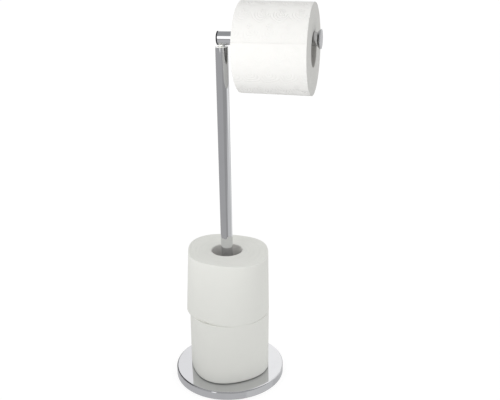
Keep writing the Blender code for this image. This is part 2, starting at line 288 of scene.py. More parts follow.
@dataclass(frozen=True)
class Finish:
    """One finish: its slot in the record, plain colour, gloss and what its surface carries."""

    name: str
    slot: Slot
    colour: Triple
    roughness: float
    metallic: float = 0.0

    def material(self) -> bpy.types.Material:
        """The finished material, made the first time that it is asked for.

        Returns:
            The material.
        """
        made = bpy.data.materials.get(self.name)
        if made is None:
            made = bpy.data.materials.new(self.name)
            made.use_nodes = True
            sheet = Sheet(made.node_tree)
            feeds = {"Metallic": self.metallic, **self.detail(sheet)}
            surface = sheet.read("ShaderNodeBsdfPrincipled", None, feeds)
            sheet.node("ShaderNodeOutputMaterial", None, {"Surface": surface})
        return made

    def detail(self, sheet: Sheet) -> Feeds:
        """What the sockets of the Principled shader get."""
        raise NotImplementedError

    def shade(self, sheet: Sheet, share: Value, factor: float) -> Value:
        """The plain colour, mixed by a share towards the same colour times a factor."""
        other = tuple(min(1.0, part * factor) for part in self.colour)
        return sheet.tint(share, (*self.colour, 1.0), (*other, 1.0))


@dataclass(frozen=True)
class Polished(Finish):
    """Polished chrome plate."""

    def detail(self, sheet: Sheet) -> Feeds:
        """Wipe marks, hairlines and the plate's slight waviness.

        Args:
            sheet: The material's sheet.

        Returns:
            What the shader gets.
        """
        place = sheet.object_place()
        smears = rise(sheet.noise(place, 45, 3), 0.45, 0.75)
        hairs = rise(sheet.noise(sheet.stretched(place, (1.0, 1.0, 0.06)), 2600, 1), 0.62, 0.8)
        return {
            "Base Color": self.shade(sheet, smears * 0.6, 0.965),
            "Roughness": self.roughness + smears * 0.035 + hairs * 0.03,
            "Normal": sheet.bump(sheet.noise(place, 30, 1), 0.012 * MM),
        }


@dataclass(frozen=True)
class ZincPlated(Finish):
    """Turned steel under a thin zinc plate."""

    def detail(self, sheet: Sheet) -> Feeds:
        """Fine turning marks and a cloudy plate.

        Args:
            sheet: The material's sheet.

        Returns:
            What the shader gets.
        """
        place = sheet.object_place()
        clouds = sheet.noise(place, 260, 3)
        marks = sheet.noise(sheet.stretched(place, (0.15, 0.15, 1.0)), 5200, 1)
        return {
            "Base Color": self.shade(sheet, clouds, 0.82),
            "Roughness": self.roughness + clouds * 0.16,
            "Normal": sheet.bump(marks, 0.02 * MM),
        }


@dataclass(frozen=True)
class CastIron(Finish):
    """Rough sand-cast iron under a thin black coat."""

    def detail(self, sheet: Sheet) -> Feeds:
        """The casting's grains and rubbed high spots.

        Args:
            sheet: The material's sheet.

        Returns:
            What the shader gets.
        """
        place = sheet.object_place()
        rubbed = rise(sheet.noise(place, 120), 0.5, 0.8)
        return {
            "Base Color": self.shade(sheet, rubbed, 2.2),
            "Roughness": self.roughness - rubbed * 0.2,
            "Normal": sheet.bump(sheet.noise(place, 1500, 4), 0.25 * MM),
        }


@dataclass(frozen=True)
class BlackCoat(Finish):
    """Smooth black lacquer on a casting."""

    def detail(self, sheet: Sheet) -> Feeds:
        """The lacquer's dull gloss, slight orange peel and dust.

        Args:
            sheet: The material's sheet.

        Returns:
            What the shader gets.
        """
        place = sheet.object_place()
        dust = rise(sheet.noise(place, 240, 3), 0.5, 0.8)
        return {
            "Base Color": self.shade(sheet, dust * 0.5, 1.8),
            "Roughness": self.roughness + dust * 0.2,
            "Specular IOR Level": 0.12,
            "Normal": sheet.bump(sheet.noise(place, 900, 1), 0.02 * MM),
        }


@dataclass(frozen=True)
class FoamPad(Finish):
    """Closed-cell foam sheet."""

    def detail(self, sheet: Sheet) -> Feeds:
        """The foam's cells and a little dust.

        Args:
            sheet: The material's sheet.

        Returns:
            What the shader gets.
        """
        place = sheet.object_place()
        cells = sheet.read("ShaderNodeTexVoronoi", None, {"Vector": place, "Scale": 1400})
        dust = rise(sheet.noise(place, 90, 3), 0.45, 0.8)
        return {
            "Base Color": self.shade(sheet, dust, 1.9),
            "Roughness": self.roughness - cells * 0.1,
            "Normal": sheet.bump(cells, 0.12 * MM),
        }


@dataclass(frozen=True)
class Nylon(Finish):
    """Moulded white nylon, which light enters a little."""

    def detail(self, sheet: Sheet) -> Feeds:
        """A fine moulded grain and slight yellowing.

        Args:
            sheet: The material's sheet.

        Returns:
            What the shader gets.
        """
        place = sheet.object_place()
        grain = sheet.noise(place, 2400)
        return {
            "Base Color": self.shade(sheet, sheet.noise(place, 150), 0.95),
            "Roughness": self.roughness + grain * 0.06,
            "Subsurface Weight": 0.3,
            "Subsurface Radius": (1.0, 1.0, 0.9),
            "Subsurface Scale": 1 * MM,
            "Normal": sheet.bump(grain, 0.006 * MM),
        }


@dataclass(frozen=True)
class Quilting:
    """The pattern pressed into the tissue: arcs and small sprays in staggered fields.

    The lines wander and fade in slow waves, in radians to the metre. They are faintest where the
    sheet is drawn tight round the roll, and again half a turn on.
    """

    field_length: float = 27.74 * MM
    field_width: float = 24.5 * MM
    line_gap: float = 3.7 * MM
    line_width: float = 2.2 * MM
    arc_count: float = 3.4
    arc_start: float = 2.5 * MM
    spray_start: float = 2 * MM
    spray_reach: float = 9 * MM
    spray_half: float = 3.6 * MM
    spray_slant: float = 0.8
    dash_length: float = 2.6 * MM
    wander: float = 1.7 * MM
    wander_waves: Pair = (173.0, 241.0)
    fade: float = 0.15
    fade_waves: Pair = (97.0, 61.0)
    wound_radius: float = 61.8 * MM
    tight_place: float = 15 * MM
    tightness: float = 0.6

    def depth(self, along: Number, across: Number, dashed: bool) -> Number:
        """How deep the tissue is pressed at a point.

        Args:
            along: Metres along the wound sheet.
            across: Metres across it.
            dashed: Whether the lines break into dashes.

        Returns:
            0 where the tissue stands full, and 0.3 to 1.6 at the bottom of a pressed line.
        """
        tight = cosine((along - self.tight_place) * (2 / self.wound_radius))
        fading = cosine(along * self.fade_waves[0] + across * self.fade_waves[1])
        strength = (1 - self.tightness * tight) * (1 - self.fade + self.fade * fading)
        across = across + self.wander * cosine(along * self.wander_waves[0] + 1.0)
        along = along + self.wander * cosine(across * self.wander_waves[1])
        column = along / self.field_length
        odd = above(fraction(column * 0.5), 0.5)
        x = (fraction(column) - 0.5) * self.field_length
        y = (fraction(across / self.field_width + odd * 0.5) - 0.5) * self.field_width
        away = root(x * x + y * y)

        ring = away / self.line_gap
        arcs = self._lines(ring) * (1 - rise(ring, self.arc_count, self.arc_count + 0.5))
        arcs = arcs * rise(x, -self.arc_start, 0.0)

        spray = self._lines((x + size_of(y) * self.spray_slant) / self.line_gap)
        spray = spray * (1 - rise(size_of(y), self.spray_half, self.spray_half + 1.4 * MM))
        spray = spray * (1 - rise(x, -self.spray_start - 1.5 * MM, -self.spray_start))
        spray = spray * rise(x, -self.spray_reach - 3 * MM, -self.spray_reach)
        pressed = (arcs + spray) * strength
        if dashed:
            beat = cosine(turn_of(y, x) * (away / self.dash_length) * tau)
            pressed = pressed * (0.5 + 0.5 * rise(beat, -0.6, 0.2))
        return pressed

    def _lines(self, count: Number) -> Number:
        """1 along the middle of each line, falling to 0 beside it."""
        return groove((fraction(count) - 0.5) * self.line_gap, self.line_width)


QUILT = Quilting()


@dataclass(frozen=True)
class Tissue(Finish):
    """Wound tissue: pressed and creped on the wrap, and finely layered on the cut ends.

    The wrap is painted a little darker towards where the sheet's end lies on it, as painted shade.
    """

    side: Side = Side.WRAP
    pressing: float = 1.0
    # Where along the wrap the painted shade starts and where it is full.
    painted_shade_from: float = 335 * MM
    painted_shade_to: float = 385 * MM

    def detail(self, sheet: Sheet) -> Feeds:
        """Fibres over the clouds and relief of the wrap or of the cut layers; the wrap's clouds
        carry a painted shade.

        Args:
            sheet: The material's sheet.

        Returns:
            What the shader gets.
        """
        wrap = sheet.attribute(WRAP_ATTRIBUTE)
        fibres = sheet.noise(sheet.object_place(), 5200, 3)
        coarse = self._cut_end if self.side is Side.CUT_END else self._wrap
        clouds, relief, darkest = coarse(sheet, wrap)
        return {
            "Base Color": self.shade(sheet, clouds * 0.5 + fibres * 0.3, darkest),
            "Roughness": self.roughness + fibres * 0.05,
            "Normal": sheet.bump(fibres, 0.03 * MM, relief),
        }

    def _wrap(self, sheet: Sheet, wrap: Value) -> tuple[Value, Value, float]:
        """The wrap's clouds with a painted shade towards the sheet's end, its crepe and pressed
        pattern.

        Args:
            sheet: The material's sheet.
            wrap: Where a point is on the wound sheet: along, across and out.

        Returns:
            The clouds with the painted shade, the surface direction, and the factor of the darkest
            colour.
        """
        along, across, _ = sheet.parts(wrap)
        # Painted shade: the colour darkens along the wrap towards where the sheet's end lies on it.
        clouds = sheet.noise(wrap, 75) + rise(along, self.painted_shade_from, self.painted_shade_to) * 1.3
        crepe = sheet.noise(sheet.stretched(wrap, (1.0, 0.3, 1.0)), 1500)
        under = sheet.bump(crepe, 0.035 * MM)
        dashes = QUILT.depth(along, across, dashed=True)
        return clouds, sheet.bump(1 - dashes, 0.35 * MM * self.pressing, under), 0.965

    def _cut_end(self, sheet: Sheet, wrap: Value) -> tuple[Value, Value, float]:
        """The cut end's bands and layers.

        Args:
            sheet: The material's sheet.
            wrap: Where a point is on the wound sheet.

        Returns:
            The bands, the surface direction, and the factor of the darkest colour.
        """
        bands = sheet.noise(sheet.stretched(wrap, (0.06, 0.0, 1.0)), 330, 3)
        lines = sheet.noise(sheet.stretched(wrap, (0.02, 0.0, 1.0)), 1700)
        fluff = sheet.noise(sheet.stretched(wrap, (0.3, 0.0, 1.0)), 900)
        return rise(bands, 0.3, 0.75), sheet.bump(lines + fluff * 0.4, 0.42 * MM), 0.93


@dataclass(frozen=True)
class Card(Finish):
    """Recycled board, wound in a spiral."""

    spiral_rise: float = 70 * MM
    seam_width: float = 1.2 * MM
    radius: float = 23.5 * MM

    def detail(self, sheet: Sheet) -> Feeds:
        """Fibres, specks and the spiral seam.

        Args:
            sheet: The material's sheet.

        Returns:
            What the shader gets.
        """
        wrap = sheet.attribute(WRAP_ATTRIBUTE)
        along, across, _ = sheet.parts(wrap)
        phase = fraction(along / (tau * self.radius) + across / self.spiral_rise)
        seam = groove((phase - 0.5) * self.spiral_rise, self.seam_width)
        fibres = sheet.noise(sheet.stretched(wrap, (1.0, 0.35, 1.0)), 1900, 4)
        specks = rise(sheet.noise(wrap, 1100), 0.66, 0.74)
        marks = fibres * 0.4 + specks * 0.3 + seam * 0.5
        return {
            "Base Color": self.shade(sheet, marks, 0.72),
            "Roughness": self.roughness - fibres * 0.08,
            "Normal": sheet.bump(fibres * 0.4 - seam, 0.15 * MM),
        }


CHROME = Polished("polished_chrome", Slot.CHROME, (0.668, 0.671, 0.68), 0.025, 1.0)
ZINC = ZincPlated("zinc_plate", Slot.ZINC, (0.5, 0.51, 0.53), 0.26, 1.0)
IRON = CastIron("black_cast_iron", Slot.IRON, (0.055, 0.055, 0.058), 0.62, 0.3)
BLACK_COAT = BlackCoat("black_lacquer", Slot.IRON, (0.028, 0.028, 0.03), 0.5)
FOAM = FoamPad("dark_foam", Slot.PAD, (0.03, 0.03, 0.032), 0.92)
NYLON = Nylon("white_nylon", Slot.NYLON, (0.96, 0.96, 0.93), 0.07)
HANGING_WRAP = Tissue("quilted_tissue", Slot.TISSUE, (0.881, 0.875, 0.854), 0.93)
# Painted shade: the hanging roll's cut ends use a much darker copy of its tissue, standing in for
# the shade on its ends; a little of it is the rougher cut's own tone.
HANGING_ENDS_PAINTED_SHADE = Tissue(
    "quilted_tissue_cut_painted_shade", Slot.TISSUE, (0.725, 0.723, 0.698), 0.94, side=Side.CUT_END
)
SPARE_WRAP = Tissue("plain_tissue", Slot.TISSUE, (0.86, 0.865, 0.823), 0.93, pressing=0.18)
SPARE_ENDS = Tissue(
    "plain_tissue_cut", Slot.TISSUE, (0.875, 0.881, 0.838), 0.94, side=Side.CUT_END
)
CARD = Card("grey_card", Slot.CARD, (0.58, 0.57, 0.54), 0.9)
# Partly painted light: a paler copy of the core card that lightens the shaded insides of the spare
# rolls' cores, and partly a paler board.
PALE_CARD_PAINTED_LIGHT = Card("pale_card_painted_light", Slot.CARD, (0.83, 0.82, 0.79), 0.9)


# Meshes


def put_in_scene(name: str, data: bpy.types.ID) -> bpy.types.Object:
    """Makes the scene's object for a mesh, a lamp or a camera.

    Args:
        name: The object's name.
        data: What it shows.

    Returns:
        The object.
    """
    made = bpy.data.objects.new(name, data)
    bpy.context.scene.collection.objects.link(made)
    return made


def arc(middle: Pair, radius: float, start: float, end: float, steps: int) -> list[Pair]:
    """Points round part of a circle on a profile, between two angles in degrees."""
    turns = [radians(start + (end - start) * i / steps) for i in range(steps + 1)]
    return [(middle[0] + radius * cos(t), middle[1] + radius * sin(t)) for t in turns]


class Work:
    """A mesh on the bench, shaped by mesh operators and then kept as a piece."""

    MERGE = 0.001 * MM
    NEAR = 0.02 * MM
    SHARP = radians(40)

    def __init__(self) -> None:
        """Starts with an empty mesh."""
        self.bm = bmesh.new()

    @classmethod
    def turned(
        cls, profile: Sequence[Pair], steps: int, cuts: Sequence[tuple[int, int]] = ()
    ) -> "Work":
        """Turns a profile about Z.

        Args:
            profile: Corners as (radius, height), closed unless it starts and ends on the axis.
            steps: Facets in the full turn.
            cuts: Which edges of the profile are divided first, as (number of the edge, cuts).

        Returns:
            The turned work.
        """
        work = cls()
        bm = work.bm
        points = [bm.verts.new((radius, 0, height)) for radius, height in profile]
        edges = [bm.edges.new(pair) for pair in zip(points, points[1:])]
        if min(profile[0][0], profile[-1][0]) > 0:
            edges.append(bm.edges.new((points[-1], points[0])))
        for number, count in cuts:
            bmesh.ops.subdivide_edges(bm, edges=[edges[number]], cuts=count)
        whole = bm.verts[:] + bm.edges[:]
        turn = {"cent": (0, 0, 0), "axis": (0, 0, 1), "angle": tau}
        bmesh.ops.spin(bm, geom=whole, steps=steps, use_merge=True, **turn)
        work.tidy()
        return work

    def tidy(self) -> None:
        """Merges doubles and turns the faces outwards."""
        bmesh.ops.remove_doubles(self.bm, verts=self.bm.verts, dist=self.MERGE)
        bmesh.ops.recalc_face_normals(self.bm, faces=self.bm.faces)

    def round_ring(self, radius: float, height: float, size: float, segments: int) -> None:
        """Rounds the edge that runs round the axis at one place.

        Args:
            radius: The ring's radius.
            height: The ring's height.
            size: The rounding's radius.
            segments: Facets across the rounding.
        """

        def on_ring(vert: bmesh.types.BMVert) -> bool:
            """Whether a point lies on the ring."""
            away = (vert.co.xy.length - radius, vert.co.z - height)
            return max(abs(away[0]), abs(away[1])) < self.NEAR

        ring = [edge for edge in self.bm.edges if all(on_ring(vert) for vert in edge.verts)]
        shape = {"offset_type": "OFFSET", "profile": 0.5, "affect": "EDGES", "material": -1}
        bmesh.ops.bevel(self.bm, geom=ring, offset=size, segments=segments, **shape)

    def lay_down(self, along: float, height: float) -> "Work":
        """Turns what stands along Z to lie along +X, and moves it there.

        Args:
            along: How far along +X the work's foot goes.
            height: The height of its axis.

        Returns:
            This work.
        """
        lying = Matrix.Rotation(radians(90), 3, "Y")
        bmesh.ops.rotate(self.bm, verts=self.bm.verts, cent=(0, 0, 0), matrix=lying)
        bmesh.ops.translate(self.bm, verts=self.bm.verts, vec=(along, 0, height))
        return self

    def lift(self, height: float) -> "Work":
        """Moves the work up."""
        bmesh.ops.translate(self.bm, verts=self.bm.verts, vec=(0, 0, height))
        return self

    def keep(
        self, name: str, finishes: Sequence[Finish], body: Body, node: str = "", even: bool = True
    ) -> None:
        """Makes the work a piece of the object.

        Args:
            name: The piece's name.
            finishes: Its finishes, by material number.
            body: The body that it rides on.
            node: The CAD node that it stands for.
            even: Whether flat faces keep their shading up to a rounded edge.
        """
        mesh = bpy.data.meshes.new(name)
        self.bm.to_mesh(mesh)
        self.bm.free()
        for finish in finishes:
            mesh.materials.append(finish.material())
        mesh.shade_smooth()
        mesh.set_sharp_from_angle(angle=self.SHARP)
        piece = put_in_scene(name, mesh)
        if even:
            piece.modifiers.new("even_normals", "WEIGHTED_NORMAL").keep_sharp = True
        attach(piece, body.value)
        if node:
            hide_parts(node)
        LOG.info("%s: %d faces on %s", name, len(mesh.polygons), body.value)


def dress_node(name: str, finish: Finish) -> None:
    """Gives a CAD node that stays its finish.

    Args:
        name: The node.
        finish: Its finish.
    """
    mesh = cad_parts[name].data
    mesh.materials.clear()
    mesh.materials.append(finish.material())
    LOG.info("%s: keeps its shape, in %s", name, finish.name)


# Base


@dataclass
class Base:
    """The pressed dish over a cast weight, its pad and its screw."""

    radius: float = 85.5 * MM
    height: float = 14 * MM
    wall: float = 1 * MM
    edge_radius: float = 2.2 * MM
    rim_lift: float = 0.9 * MM
    rim_ease: float = 0.35 * MM
    hole: float = 4.3 * MM
    steps: int = 320

    def build(self) -> None:
        """Makes the dish and dresses what lies under it."""
        self._cover()
        dress_node("base_weight", IRON)
        dress_node("base_pad", FOAM)
        dress_node("base_screw", ZINC)

    def _cover(self) -> None:
        """Turns the dish and rounds its bent edge."""
        inside, under = self.radius - self.wall, self.height - self.wall
        profile = [
            (self.hole, self.height),
            (self.radius, self.height),
            (self.radius, self.rim_lift),
            (inside, self.rim_lift),
            (inside, under),
            (self.hole, under),
        ]
        dish = Work.turned(profile, self.steps, cuts=[(0, 5)])
        dish.round_ring(self.radius, self.height, self.edge_radius, 12)
        dish.round_ring(inside, under, self.edge_radius - self.wall, 6)
        dish.round_ring(self.radius, self.rim_lift, self.rim_ease, 4)
        dish.keep("base_dish", [CHROME], Body.STAND, "base_cover")


# Pole


@dataclass
class Pole:
    """The upright tube, its foot insert, and the rounded cap with the swivel bush."""

    radius: float = 9 * MM
    wall: float = 1 * MM
    foot: float = 14.3 * MM
    top: float = 514 * MM
    gap: float = 0.3 * MM
    foot_ease: float = 0.25 * MM
    top_ease: float = 0.15 * MM
    crown: float = 1.4 * MM
    crown_flat: float = 0.05 * MM
    plug_length: float = 28 * MM
    cap_bore: float = 6 * MM
    lip_bore: float = 4.8 * MM
    lip: float = 0.6 * MM
    steps: int = 160

    def build(self) -> None:
        """Makes the tube and the cap, and dresses what is inside."""
        self._tube()
        self._cap()
        dress_node("pole_foot_insert", ZINC)
        dress_node("swivel_bush", NYLON)

    def _tube(self) -> None:
        """Turns the tube, with its ends eased."""
        bore = self.radius - self.wall
        foot = [(bore, self.foot), (self.radius, self.foot)]
        profile = [*foot, (self.radius, self.top), (bore, self.top)]
        tube = Work.turned(profile, self.steps, cuts=[(1, 15)])
        tube.round_ring(self.radius, self.foot, self.foot_ease, 3)
        tube.round_ring(self.radius, self.top, self.top_ease, 3)
        tube.keep("pole_shell", [CHROME], Body.STAND, "pole_tube")

    def _cap(self) -> None:
        """Turns the cap, with its crown rounded."""
        plug = self.radius - self.wall - self.gap
        seat = self.top + self.gap
        crest = seat + self.crown
        profile = [
            (self.cap_bore, self.top - self.plug_length),
            (plug, self.top - self.plug_length),
            (plug, seat),
            (self.radius, seat),
            (self.radius, crest),
            (self.lip_bore, crest),
            (self.lip_bore, crest - self.lip),
            (self.cap_bore, crest - self.lip),
        ]
        cap = Work.turned(profile, self.steps)
        cap.round_ring(self.radius, crest, self.crown - self.crown_flat, 10)
        cap.keep("crowned_cap", [NYLON], Body.STAND, "pole_cap")


# Arm


@dataclass
class Arm:
    """The horizontal tube on its saddle, with the rear plug and the end knob."""

    radius: float = 9.5 * MM
    wall: float = 1 * MM
    gap: float = 0.3 * MM
    axis: float = 526.7 * MM
    back: float = -5.7 * MM
    flange: float = 1.7 * MM
    plug_reach: float = 9 * MM
    plug_edge: float = 0.4 * MM
    end: float = 133.8 * MM
    start_ease: float = 0.15 * MM
    end_ease: float = 0.25 * MM
    saddle_foot: float = 515.76 * MM
    saddle_radius: float = 5.1 * MM
    thread_clearance: float = 3.3 * MM
    knob_radius: float = 13.3 * MM
    knob_neck: float = 10.6 * MM
    knob_flare: float = 2.4 * MM
    knob_thickness: float = 4.2 * MM
    knob_edge: float = 0.3 * MM
    stud_clearance: float = 2.8 * MM
    stud_depth: float = 2.7 * MM
    steps: int = 160

    def build(self) -> None:
        """Makes the arm's shown pieces and dresses its inner ones."""
        self._saddle()
        self._tube()
        self._rear_plug()
        self._knob()
        for inner in ("arm_spigot", "knob_insert", "knob_stud"):
            dress_node(inner, ZINC)

    def _saddle(self) -> None:
        """Turns the washer under the arm and hollows its top to the arm's round."""
        profile = [
            (self.thread_clearance, self.saddle_foot),
            (self.saddle_radius, self.saddle_foot),
            (self.saddle_radius, self.axis),
            (self.thread_clearance, self.axis),
        ]
        saddle = Work.turned(profile, self.steps)
        hollow = self.radius + self.gap
        for vert in saddle.bm.verts:
            if vert.co.z > self.saddle_foot + self.gap:
                vert.co.z = self.axis - sqrt(hollow**2 - vert.co.y**2)
        saddle.keep("hollowed_saddle", [NYLON], Body.ARM, "arm_saddle")

    def _tube(self) -> None:
        """Turns the arm's tube."""
        bore = self.radius - self.wall
        start = self.back + self.flange + self.gap
        profile = [(bore, start), (self.radius, start), (self.radius, self.end), (bore, self.end)]
        tube = Work.turned(profile, self.steps, cuts=[(1, 7)])
        tube.round_ring(self.radius, start, self.start_ease, 3)
        tube.round_ring(self.radius, self.end, self.end_ease, 3)
        tube.lay_down(0, self.axis).keep("arm_shell", [CHROME], Body.ARM, "arm_tube")

    def _rear_plug(self) -> None:
        """Turns the plug that closes the tube's rear end."""
        plug = self.radius - self.wall - self.gap
        shoulder = self.back + self.flange
        profile = [
            (0, self.back),
            (self.radius, self.back),
            (self.radius, shoulder),
            (plug, shoulder),
            (plug, self.plug_reach),
            (0, self.plug_reach),
        ]
        work = Work.turned(profile, self.steps)
        work.round_ring(self.radius, self.back, self.plug_edge, 6)
        work.lay_down(0, self.axis).keep("rear_plug", [BLACK_COAT], Body.ARM, "arm_rear_plug")

    def _knob(self) -> None:
        """Turns the flared disc at the arm's free end."""
        face = self.end + self.gap
        front = face + self.knob_thickness
        profile = [
            (0, face + self.stud_depth),
            (self.stud_clearance, face + self.stud_depth),
            (self.stud_clearance, face),
            (self.knob_neck, face),
            (self.knob_radius, face + self.knob_flare),
            (self.knob_radius, front),
            (0, front),
        ]
        work = Work.turned(profile, self.steps)
        work.round_ring(self.knob_radius, face + self.knob_flare, self.knob_edge, 6)
        work.round_ring(self.knob_radius, front, self.knob_edge, 10)
        work.lay_down(0, self.axis).keep("stop_knob", [CHROME], Body.ARM, "end_knob")


# Paper rolls


@dataclass(frozen=True)
class Press:
    """How one end of a roll is pressed out of round, in shares of its radius and in degrees."""

    oval: float = 0.0
    oval_turn: float = 0.0
    square: float = 0.0
    square_turn: float = 0.0
    lean: float = 0.0
    lean_turn: float = 0.0
    swell: float = 0.0

    def at(self, turn: float) -> float:
        """How far the end bulges at an angle.

        Args:
            turn: The angle in radians.

        Returns:
            The bulge as a share of the radius.
        """
        oval, square, lean = (
            cos(count * (turn - radians(start)))
            for count, start in ((2, self.oval_turn), (4, self.square_turn), (1, self.lean_turn))
        )
        return self.oval * oval + self.square * square + self.lean * lean + self.swell


@dataclass
class WoundRoll:
    """One roll of tissue round its card core. Its own axis is Z until it is placed.

    It stands for the nodes that are named after it, with _paper and _core added.
    """

    name: str
    body: Body
    end_turn: float
    foot: Press
    top: Press
    wrap: Tissue
    ends: Tissue
    place: Callable[[Work], Work]
    free_end: float = 0.0
    free_lift: float = 0.0
    pressing: float = 0.0
    steps: int = 256
    rows: int = 40
    rings: int = 22
    seed: int = 1
    length: float = 98 * MM
    radius: float = 61.8 * MM
    paper_bore: float = 24.5 * MM
    core_bore: float = 23.5 * MM
    core_wall: float = 0.7 * MM
    core_inset: float = 0.4 * MM
    core_ease: float = 0.25 * MM
    end_step: float = 0.7 * MM
    end_ledge: float = 0.04 * MM
    foot_corner: float = 0.4 * MM
    top_corner: float = 0.4 * MM
    sheet: float = 0.35 * MM
    sheet_inset: float = 0.3 * MM
    sheet_clear: float = 0.03 * MM
    tuck: float = 1.5 * MM
    tooth: float = 0.35 * MM
    slip: float = 0.2 * MM
    open_turn: float = 15.0
    card: Card = CARD
    dishes: list[float] = field(default_factory=list)

    def build(self) -> None:
        """Makes the paper, its free end where that is loose, and the core."""
        chance = random.Random(self.seed)
        self.dishes = [chance.uniform(-1.0, 1.0) for _ in range(self.rings + 3)]
        self._paper()
        if self.free_end:
            self._free_end()
        self._core()

    def _surface(self, turn: float, up: float) -> float:
        """The paper's reach from the axis at an angle and a share of the length, unwound."""
        return self.radius * (1 + self.foot.at(turn) * (1 - up) + self.top.at(turn) * up)

    def _pattern(self, along: float, across: float) -> float:
        """How far the pressed pattern goes in at a point of the wrap, in metres."""
        return self.pressing * QUILT.depth(along, across, dashed=False) if self.pressing else 0.0

    def _paper(self) -> None:
        """Turns the paper finely, then winds, presses and layers it point by point."""
        bore, radius, length = self.paper_bore, self.radius, self.length
        low, high = self.foot_corner, self.top_corner
        profile = [(bore, 0.0)]
        profile += arc((radius - low, low), low, -90, 0, 3)
        profile += arc((radius - high, length - high), high, 0, 90, 3)
        profile += [(bore, length)]
        cuts = [(0, self.rings), (4, self.rows), (8, self.rings)]
        work = Work.turned(profile, self.steps, cuts)
        carried = work.bm.verts.layers.float_vector.new(WRAP_ATTRIBUTE)
        step_turn = radians(self.end_turn) + self.free_end / radius
        last = tau - 0.6 * tau / self.steps
        skin = radius - 0.2 * MM

        for vert in work.bm.verts:
            reach, height = vert.co.xy.length, vert.co.z
            local = atan2(vert.co.y, vert.co.x) % tau
            if local > last:
                local = tau - self.end_ledge / radius
            depth = max(0.0, (reach - bore) / (radius - bore))
            up = height / length
            turn = local + step_turn
            along = radius * local + self.free_end
            vert[carried] = (along, height, reach - bore)

            grown = reach + depth * (self._surface(turn, up) - radius)
            grown -= depth * self.end_step * local / tau
            if reach > skin:
                grown -= self._pattern(along, height)
            height += self._dishing(depth, up, turn)
            vert.co = (grown * cos(turn), grown * sin(turn), height)

        for face in work.bm.faces:
            heights = [vert[carried].y for vert in face.verts]
            flat = max(heights) < low * 0.6 or min(heights) > length - high * 0.6
            face.material_index = 1 if flat else 0
        work.tidy()
        finishes, node = [self.wrap, self.ends], f"{self.name}_paper"
        self.place(work).keep(f"{self.name}_wrap", finishes, self.body, node, even=False)

    def _dishing(self, depth: float, up: float, turn: float) -> float:
        """How far a point of a cut end stands in, as neighbouring layers slip a little.

        Args:
            depth: The point's share of the way from the bore to the outside.
            up: Its share of the length.
            turn: Its angle.

        Returns:
            The change of its height in metres.
        """
        if 0.02 < up < 0.98:
            return 0.0
        place = depth * self.rings
        ring = min(int(place), self.rings + 1)
        share = place - ring
        layer = self.dishes[ring] * (1 - share) + self.dishes[ring + 1] * share
        facing = (1 - cos(turn - radians(self.open_turn))) / 2
        inwards = self.slip * (1 + layer) * (1 - rise(depth, 0.85, 1.0) * facing)
        return inwards if up < 0.5 else -inwards

    def _free_end(self) -> None:
        """Makes the last stretch of the sheet, which lifts a little at its torn edge."""
        work = Work()
        bm = work.bm
        rows = self.rows * 2
        bmesh.ops.create_grid(bm, x_segments=18, y_segments=rows, size=0.5)
        carried = bm.verts.layers.float_vector.new(WRAP_ATTRIBUTE)
        start = radians(self.end_turn)
        chance = random.Random(self.seed + 5)
        teeth = [chance.uniform(0.3, 1.0) for _ in range(rows + 2)]
        for vert in bm.verts:
            out, up = vert.co.x + 0.5, vert.co.y + 0.5
            row = round(up * rows)
            along = (self.free_end + self.tuck) * out
            along += self.tooth * teeth[row] * (row % 2) * max(0.0, 1 - out * 6)
            height = self.sheet_inset + (self.length - 2 * self.sheet_inset) * up
            turn = start + along / self.radius
            loose = max(0.0, 1 - along / self.free_end)
            wave = 1 + 0.3 * cos(up * 9.0 + 0.6) + 0.15 * cos(up * 23.0)
            reach = self._surface(turn, height / self.length) + self.free_lift * wave * loose**2
            reach += self.sheet_clear - self._pattern(along, height)
            vert.co = (reach * cos(turn), reach * sin(turn), height)
            vert[carried] = (along, height, self.radius - self.paper_bore)
        bmesh.ops.recalc_face_normals(bm, faces=bm.faces)
        bm.faces.ensure_lookup_table()
        middle = bm.faces[len(bm.faces) // 2]
        if middle.normal.dot(middle.calc_center_median() * Vector((1, 1, 0))) < 0:
            bmesh.ops.reverse_faces(bm, faces=bm.faces)
        bmesh.ops.solidify(bm, geom=bm.faces[:], thickness=self.sheet)
        self.place(work).keep(f"{self.name}_free_end", [self.wrap], self.body, even=False)

    def _core(self) -> None:
        """Turns the card core."""
        bore, low, high = self.core_bore, self.core_inset, self.length - self.core_inset
        outside = bore + self.core_wall
        profile = [(bore, low), (outside, low), (outside, high), (bore, high)]
        work = Work.turned(profile, 144, cuts=[(1, 9), (3, 9)])
        work.round_ring(bore, high, self.core_ease, 3)
        work.round_ring(bore, low, self.core_ease, 3)
        carried = work.bm.verts.layers.float_vector.new(WRAP_ATTRIBUTE)
        for vert in work.bm.verts:
            turn = atan2(vert.co.y, vert.co.x) % tau
            vert[carried] = (turn * bore, vert.co.z, vert.co.xy.length)
        self.place(work).keep(f"{self.name}_card", [self.card], self.body, f"{self.name}_core")


